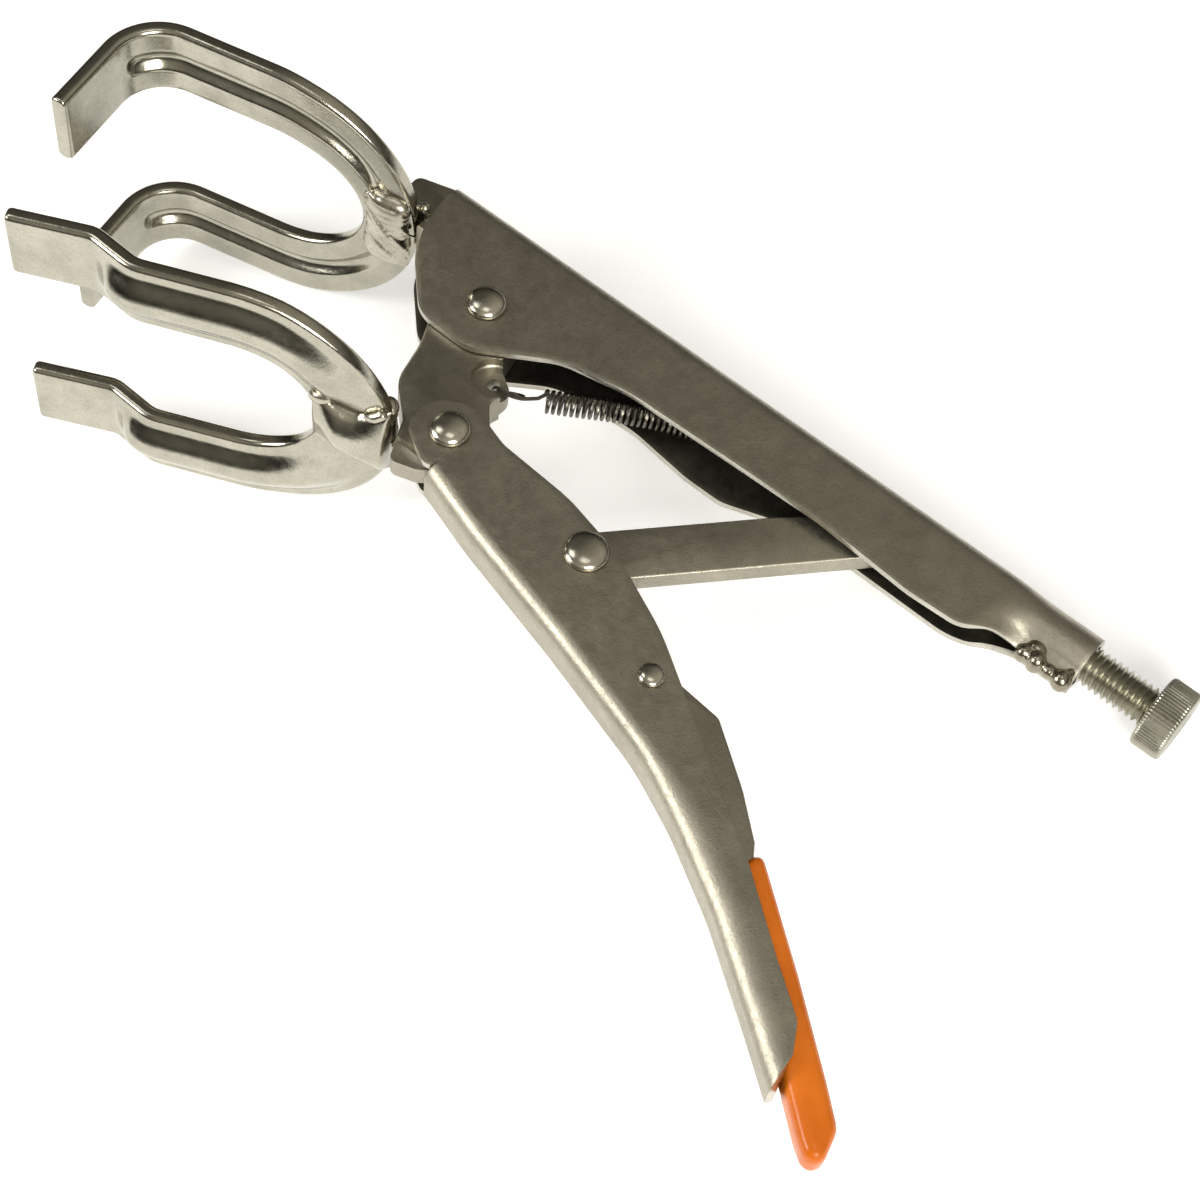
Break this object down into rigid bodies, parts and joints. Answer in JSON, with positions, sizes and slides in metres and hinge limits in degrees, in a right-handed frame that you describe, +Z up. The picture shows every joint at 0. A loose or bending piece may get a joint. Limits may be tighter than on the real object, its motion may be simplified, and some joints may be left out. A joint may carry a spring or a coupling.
{
  "type": "locking welding clamp",
  "caption": "Locking clamp with two forked U jaws, a toggle link, an adjusting screw with a knurled head, a return spring and a dipped release lever.",
  "frame": {"origin": "centre of the bounding box in plan, at its lowest point: the surface on which the tool lies on its side", "axes": "+X towards the adjusting screw, +Y away from the moving handle, +Z up, within 8 degrees of the pivot pins"},
  "size_m": [0.285, 0.14, 0.0813],
  "materials": {
    "satin_nickel": "satin nickel plate",
    "bright_nickel": "bright nickel plate",
    "jaw_steel": "matte nickel plate",
    "rivet_steel": "polished",
    "zinc": "dull zinc plate",
    "spring_steel": "drawn wire",
    "vinyl": "glossy dipped vinyl"
  },
  "bodies": {
    "fixed_frame": {"fixed_handle": "satin_nickel", "tail_weld": "bright_nickel", "upper_tang": "jaw_steel", "upper_prong_near": "bright_nickel", "upper_prong_far": "bright_nickel", "upper_root_weld": "bright_nickel", "upper_bow_weld": "bright_nickel", "main_pivot_rivet": "rivet_steel", "spring_anchor": "jaw_steel", "tension_spring": "spring_steel"},
    "moving_jaw": {"jaw_plate": "jaw_steel", "lower_prong_near": "bright_nickel", "lower_prong_far": "bright_nickel", "lower_root_weld": "bright_nickel", "lower_neck_plate": "bright_nickel", "handle_pivot_rivet": "rivet_steel"},
    "moving_handle": {"lower_handle": "satin_nickel", "link_rivet": "rivet_steel", "lever_rivet": "rivet_steel"},
    "link": {"toggle_link": "satin_nickel"},
    "lever": {"release_lever": "satin_nickel", "lever_sleeve": "vinyl"},
    "screw_tip": {"screw_nose": "zinc"},
    "screw": {"adjusting_screw": "zinc"}
  },
  "joints": [
    {"name": "jaw_pivot", "type": "hinge", "parent": "fixed_frame", "child": "moving_jaw", "pos_m": [-0.03871, 0.04503, 0.03041], "axis": [-0.1139, -0.0762, -0.9906], "range_deg": [0, 17], "stiffness_Nm_per_rad": 0.6, "deforming": ["tension_spring"]},
    {"name": "handle_pivot", "type": "hinge", "parent": "moving_jaw", "child": "moving_handle", "pos_m": [-0.02201, 0.01258, 0.03099], "axis": [0.1139, 0.0762, 0.9906], "range_deg": [0, 40.2]},
    {"name": "link_pivot", "type": "hinge", "parent": "moving_handle", "child": "link", "pos_m": [0.02061, 0.00762, 0.02647], "axis": [-0.1139, -0.0762, -0.9906], "range_deg": [0, 37.22]},
    {"name": "release_lever_pivot", "type": "hinge", "parent": "moving_handle", "child": "lever", "pos_m": [0.05001, -0.0073, 0.02423], "axis": [-0.1139, -0.0762, -0.9906], "range_deg": [-2, 0.7]},
    {"name": "screw_travel", "type": "slide", "parent": "fixed_frame", "child": "screw_tip", "axis": [0.9935, -0.0087, -0.1136], "range_m": [0, 0.012]},
    {"name": "screw_turn", "type": "hinge", "parent": "screw_tip", "child": "screw", "pos_m": [0.11032, 0.06167, 0.01199], "axis": [0.9935, -0.0087, -0.1136], "range_deg": [0, 2722]}
  ],
  "couplings": [
    {"joint": "handle_pivot", "follows": "jaw_pivot", "ratio": 2.3588},
    {"joint": "link_pivot", "follows": "jaw_pivot", "ratio": 2.1835},
    {"joint": "screw_turn", "follows": "screw_travel", "rad_per_m": 3957.9}
  ]
}
